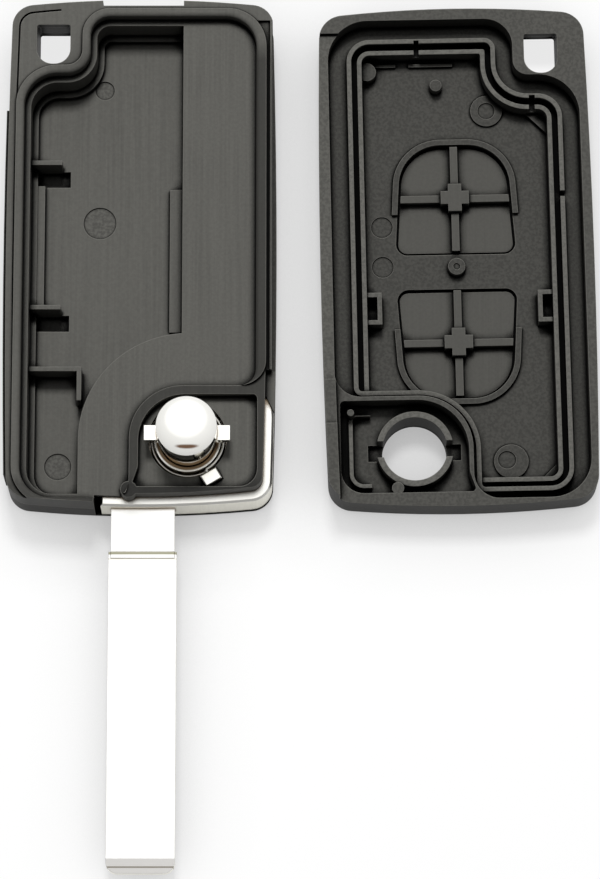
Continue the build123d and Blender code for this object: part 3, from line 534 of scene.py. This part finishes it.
def wound_wire_tree():
    """A coil of round wire with a straight leg at its upper end"""
    tree = bpy.data.node_groups.new("wound_wire", "GeometryNodeTree")
    tree.interface.new_socket("Geometry", in_out="OUTPUT", socket_type="NodeSocketGeometry")
    for name in spring_sizes:
        tree.interface.new_socket(name, in_out="INPUT", socket_type="NodeSocketFloat")
    tree.interface.new_socket("Finish", in_out="INPUT", socket_type="NodeSocketMaterial")
    given = add_node(tree, "NodeGroupInput").outputs
    coil = add_node(tree, "GeometryNodeCurveSpiral", {
        "Resolution": turn_steps, "Rotations": given["Turns"], "Start Radius": given["Coil radius"],
        "End Radius": given["Coil radius"], "Height": given["Coil height"]})
    far = calc(tree, "ADD", given["Coil radius"], given["Leg length"])
    start = add_node(tree, "ShaderNodeCombineXYZ", {"X": given["Coil radius"], "Z": given["Coil height"]})
    end = add_node(tree, "ShaderNodeCombineXYZ", {"X": far, "Z": given["Coil height"]})
    leg = add_node(tree, "GeometryNodeCurvePrimitiveLine", {"Start": start.outputs[0], "End": end.outputs[0]})
    joined = add_node(tree, "GeometryNodeJoinGeometry")
    tree.links.new(coil.outputs[0], joined.inputs[0])
    tree.links.new(leg.outputs[0], joined.inputs[0])
    section = add_node(tree, "GeometryNodeCurvePrimitiveCircle", {
        "Resolution": wire_facets, "Radius": given["Wire radius"]})
    wire = add_node(tree, "GeometryNodeCurveToMesh", {
        "Curve": joined.outputs[0], "Profile Curve": section.outputs[0], "Fill Caps": True})
    smooth = add_node(tree, "GeometryNodeSetShadeSmooth", {"Geometry": wire.outputs[0]})
    real = add_node(tree, "GeometryNodeRealizeInstances", {"Geometry": smooth.outputs[0]})
    coloured = add_node(tree, "GeometryNodeSetMaterial", {
        "Geometry": real.outputs[0], "Material": given["Finish"]})
    add_node(tree, "NodeGroupOutput", {"Geometry": coloured.outputs[0]})
    return tree


wound_wire = wound_wire_tree()
print("tree:", wound_wire.name, len(wound_wire.nodes), "nodes")

# %% [markdown]
# A modifier holds the values for one spring. Its inputs are set by the socket's identifier, because
# two sockets may share a name. The evaluated result is then turned into a plain mesh, moved to its
# place inside the mesh itself, and the modifier goes with the object that held it.

# %% Helper for a spring
def wind_spring(name, sizes, turn, lift):
    """A spring from the tree, turned about the fold axis and lifted to its height"""
    holder = bpy.data.objects.new(name + "_source", bpy.data.meshes.new(name + "_source"))
    bpy.context.scene.collection.objects.link(holder)
    modifier = holder.modifiers.new("wound_wire", "NODES")
    modifier.node_group = wound_wire
    for socket in wound_wire.interface.items_tree:
        if socket.in_out == "INPUT":
            modifier[socket.identifier] = sizes[socket.name]
    graph = bpy.context.evaluated_depsgraph_get()
    mesh = bpy.data.meshes.new_from_object(holder.evaluated_get(graph))
    mesh.transform(Matrix.Translation((0, 0, lift)) @ Matrix.Rotation(turn, 4, "Z"))
    mesh.name = name
    spring = bpy.data.objects.new(name, mesh)
    bpy.context.scene.collection.objects.link(spring)
    bpy.data.objects.remove(holder)
    print(name, len(mesh.polygons), "faces")
    return spring


# %% [markdown]
# The spring that throws the blade out fills the box of its CAD node, and its leg ends at the anchor.
# It stays still, because the wire is drawn in one state only.

# %% Flip spring
flip_wire = 0.45 * mm
flip_turns = 3.0
flip_low, flip_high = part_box("flip_spring")
flip_radius = -flip_low.x - flip_wire / 2
anchor_low, anchor_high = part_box("spring_anchor")
anchor_middle = (anchor_low + anchor_high) / 2
anchor_angle = math.atan2(anchor_middle.y, anchor_middle.x)
anchor_reach = math.hypot(anchor_middle.x, anchor_middle.y)
anchor_half = 0.85 * mm
flip_coil = wind_spring("flip_spring_wire", {
    "Turns": flip_turns, "Coil radius": flip_radius, "Coil height": flip_high.z - flip_low.z - flip_wire,
    "Wire radius": flip_wire / 2, "Leg length": anchor_reach - anchor_half - flip_radius,
    "Finish": spring_steel}, anchor_angle, flip_low.z + flip_wire / 2)
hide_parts("flip_spring")
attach(flip_coil, "shell")

# %% [markdown]
# The spring inside the button hangs from the carrier, and gets a mesh of its own.

# %% Button spring
press_wire = 0.5 * mm
press_turns = 5.0
press_low, press_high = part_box("button_spring")
press_coil = wind_spring("button_spring_wire", {
    "Turns": press_turns, "Coil radius": press_high.x - press_wire / 2,
    "Coil height": press_high.z - press_low.z - press_wire, "Wire radius": press_wire / 2,
    "Leg length": 0.0, "Finish": spring_steel}, 0.0, press_low.z + press_wire / 2)
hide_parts("button_spring")
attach(press_coil, "carrier")
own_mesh(press_coil)

# %% [markdown]
# ## Table
# The halves lie on a white table. To a camera ray, and to a ray that a shiny face sends on, the table
# mostly glows almost pure white, which is how the photograph shows it, and a fifth of it stays a
# plain lit surface. An Ambient Occlusion node makes the glow weaker close to the halves, which paints a
# soft shadow beside them, and inside the two key ring holes the paper is painted bright.

# %% Table
table_half = 0.9
table_drop = 0.02 * mm
paper_level = 0.95
paper_rough = 0.9
white_share = 0.8
paper_white = 1.03
contact_reach = 12.0 * mm
contact_range = (0.2, 0.95)
painted_shadow_glow = 0.5
# Middles of the two key ring holes on the paper, and how far the painted bright paper reaches round them
ring_holes = [Vector((-18.3, 55.0, 0)) * mm, Vector((47.3, 54.6, 0)) * mm]
hole_reach = 4.2 * mm


def shown_rays(tree):
    """1 for a ray from the camera, a shiny face or glass, and 0 for one that only brings light"""
    rays = add_node(tree, "ShaderNodeLightPath").outputs
    seen = calc(tree, "MAXIMUM", rays["Is Camera Ray"], rays["Is Glossy Ray"])
    return calc(tree, "MAXIMUM", seen, rays["Is Transmission Ray"])


table_mesh = bpy.data.meshes.new("table")
corner_signs = ((-1, -1), (1, -1), (1, 1), (-1, 1))
table_corners = [(x * table_half, y * table_half, -table_drop) for x, y in corner_signs]
table_mesh.from_pydata(table_corners, [], [(0, 1, 2, 3)])
table = bpy.data.objects.new("table", table_mesh)
bpy.context.scene.collection.objects.link(table)
white_paper, paper_tree, paper_shader = new_finish("white_paper")
paper_shader.inputs["Base Color"].default_value = grey(paper_level)
paper_shader.inputs["Roughness"].default_value = paper_rough
# Painted soft shadow near the halves, and painted bright paper inside the key ring holes
bright = remap(paper_tree, openness(paper_tree, contact_reach), *contact_range, painted_shadow_glow, paper_white)
paper_place = object_place(paper_tree)
for hole in ring_holes:
    away = vector_calc(paper_tree, "DISTANCE", paper_place, hole)["Value"]
    near = calc(paper_tree, "LESS_THAN", away, hole_reach)
    bright = calc(paper_tree, "MAXIMUM", bright, near)
glow = add_node(paper_tree, "ShaderNodeEmission", {"Color": grey(1.0), "Strength": bright})
glow_share = calc(paper_tree, "MULTIPLY", shown_rays(paper_tree), white_share)
paper_mix = add_node(paper_tree, "ShaderNodeMixShader", {
    "Fac": glow_share, 1: paper_shader.outputs[0], 2: glow.outputs[0]})
paper_out = next(item for item in paper_tree.nodes if item.type == "OUTPUT_MATERIAL")
paper_tree.links.new(paper_mix.outputs[0], paper_out.inputs["Surface"])
table_mesh.materials.append(white_paper)
print("table", 2 * table_half, "m wide")

# %% [markdown]
# ## Light
# In the photograph the walls that face the viewer are dark and the shadows fall towards the blade's
# tip, so the light comes from beyond the key ring end. One large soft lamp stands there. Polished
# metal mirrors the sky and not the lamp, whose small image would be a white spot.

# %% Lamp
lamp_place = Vector((-10, 410, 820)) * mm
lamp_aim = Vector((20, 10, 5)) * mm
lamp_width = 200 * mm
lamp_power = 8.0

lamp_data = bpy.data.lights.new("soft_lamp", "AREA")
lamp_data.shape = "SQUARE"
lamp_data.size = lamp_width
lamp_data.energy = lamp_power
lamp = bpy.data.objects.new("soft_lamp", lamp_data)
bpy.context.scene.collection.objects.link(lamp)
lamp.location = lamp_place
lamp.visible_glossy = False
lamp.rotation_euler = (lamp_aim - lamp_place).to_track_quat("-Z", "Y").to_euler()
print("lamp", lamp_power, "W,", round((lamp_place - lamp_aim).length, 2), "m away")

# %% [markdown]
# A pale sky fills in. The sky that a shiny face mirrors is brighter than the sky that lights the
# matt faces. It is paler overhead than at the viewer's side, and palest round the lamp, like a
# window. A dark brown oval in it gives the domed button its dark crescent.

# %% Sky
sky_fill = 0.15
sky_levels = (0.3, 1.0)
sky_range = (-0.25, 0.8)
sky_up = 0.8
sky_north = 0.45
window_glow = 0.5
window_range = (0.8, 0.97)
# The oval's place and half widths on a level ceiling 1 m up, its soft edge and its colour
shade_place = -0.466
shade_across = 0.4
shade_along = 0.09
shade_range = (1.15, 0.75)
shade_colour = (0.18, 0.1, 0.06, 1.0)

sky = bpy.data.worlds.new("pale_sky")
bpy.context.scene.world = sky
sky.use_nodes = True
sky_tree = sky.node_tree
sky_tree.nodes.clear()
direction = add_node(sky_tree, "ShaderNodeTexCoord").outputs["Generated"]
parts = split(sky_tree, direction)
upward = calc(sky_tree, "MULTIPLY", parts["Z"], sky_up)
tilted = calc(sky_tree, "MULTIPLY_ADD", parts["Y"], sky_north, upward)
brightness = remap(sky_tree, tilted, *sky_range, *sky_levels)
towards_lamp = vector_calc(sky_tree, "DOT_PRODUCT", direction, (lamp_place - lamp_aim).normalized())
window = remap(sky_tree, towards_lamp["Value"], *window_range, 0.0, window_glow)
above = calc(sky_tree, "ADD", brightness, window)
across = calc(sky_tree, "DIVIDE", calc(sky_tree, "DIVIDE", parts["X"], parts["Z"]), shade_across)
from_place = calc(sky_tree, "SUBTRACT", calc(sky_tree, "DIVIDE", parts["Y"], parts["Z"]), shade_place)
along = calc(sky_tree, "DIVIDE", from_place, shade_along)
oval = add_node(sky_tree, "ShaderNodeCombineXYZ", {"X": across, "Y": along})
shade = remap(sky_tree, vector_calc(sky_tree, "LENGTH", oval.outputs[0])["Value"], *shade_range)
sky_light = add_node(sky_tree, "ShaderNodeBackground", {
    "Color": mix_colours(sky_tree, shade, grey(1.0), shade_colour),
    "Strength": remap(sky_tree, shown_rays(sky_tree), 0.0, 1.0, sky_fill, above)})
add_node(sky_tree, "ShaderNodeOutputWorld", {"Surface": sky_light.outputs[0]})
bpy.context.scene.view_settings.view_transform = "Standard"
print("sky levels", sky_levels, "and fill", sky_fill)
